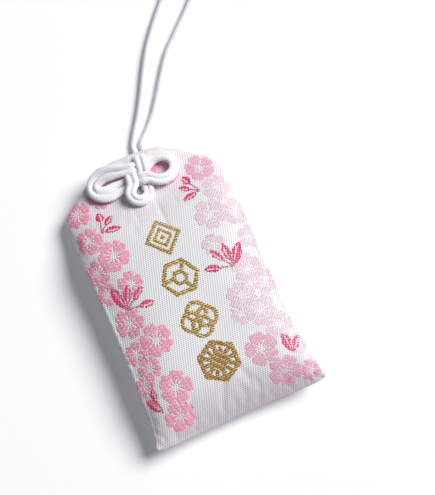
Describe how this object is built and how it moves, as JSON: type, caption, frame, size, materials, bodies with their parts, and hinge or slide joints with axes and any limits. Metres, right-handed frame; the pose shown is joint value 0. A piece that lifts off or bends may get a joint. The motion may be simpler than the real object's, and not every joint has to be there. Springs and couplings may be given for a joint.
{
  "type": "omamori charm",
  "caption": "Small padded brocade charm pouch with sloped shoulders, closed at the neck by a doubled white cord knot and hung from a long cord loop.",
  "frame": {"origin": "middle of the pouch's outline, on the surface that its flat back lies on", "axes": "+X across the pouch to the right seen from the front, +Y from the bottom edge to the mouth, +Z out of the front"},
  "size_m": [0.0683, 0.1259, 0.011],
  "materials": {
    "brocade": "white satin brocade with pink, crimson and gold weft figures",
    "thread": "fine sewing thread",
    "wadding": "soft cotton wadding",
    "card": "grey-brown board",
    "paper": "plain white paper",
    "slip_wood": "planed pale wood, unvarnished",
    "cord": "round braided white cord"
  },
  "bodies": {
    "pouch": {"front_panel": "brocade", "back_panel": "brocade", "seam_thread": "thread", "front_wadding": "wadding", "stiffener_card": "card", "paper_wrapper": "paper", "talisman_slip": "slip_wood"},
    "knot": {"knot_ears": "cord", "knot_lower_loop": "cord"},
    "loop": {"hanging_loop": "cord"}
  },
  "joints": [
    {"name": "knot_swivel", "type": "hinge", "parent": "pouch", "child": "knot", "pos_m": [0.00102, 0.03451, 0.0036], "axis": [0, 0, 1], "range_deg": [-6, 6]},
    {"name": "loop_swing", "type": "hinge", "parent": "knot", "child": "loop", "pos_m": [0.00305, 0.03665, 0.0022], "axis": [1, 0, 0], "range_deg": [0, 90]}
  ]
}
